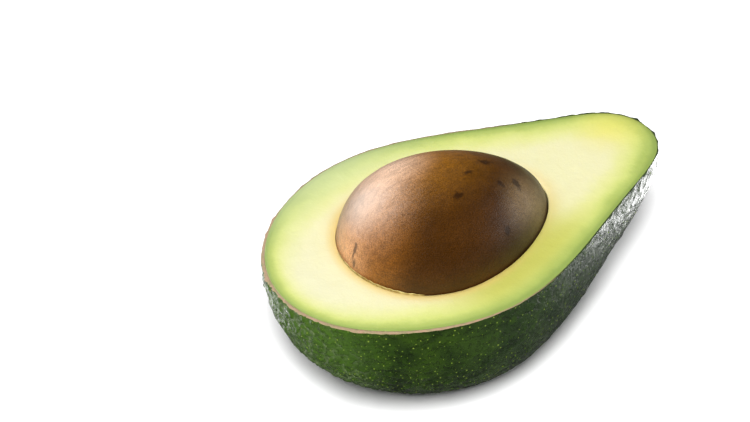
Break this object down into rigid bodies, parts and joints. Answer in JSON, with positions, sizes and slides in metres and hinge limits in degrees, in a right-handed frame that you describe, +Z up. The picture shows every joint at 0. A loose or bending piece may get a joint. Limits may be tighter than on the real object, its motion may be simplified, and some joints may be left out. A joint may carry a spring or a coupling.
{
  "type": "avocado half",
  "caption": "Avocado cut lengthwise, lying on its pebbled green skin with the cut face level, pale flesh and the brown stone still in it.",
  "frame": {"origin": "centre of the small flat spot of skin on which the half rests, under its centre of mass", "axes": "+X to the neck along the fruit's long axis, +Z up, square to the level cut face, -Z out of the rest spot"},
  "size_m": [0.1055, 0.0684, 0.0545],
  "materials": {
    "skin": "glossy dark green skin, pebbled, with small pale specks and a tan cut edge",
    "flesh": "moist, smooth, green at the skin and cream at the stone",
    "stone": "satin brown with fine mottle and a few dark spots"
  },
  "bodies": {
    "root": {"skin": "skin", "flesh": "flesh", "stone": "stone"}
  },
  "joints": []
}
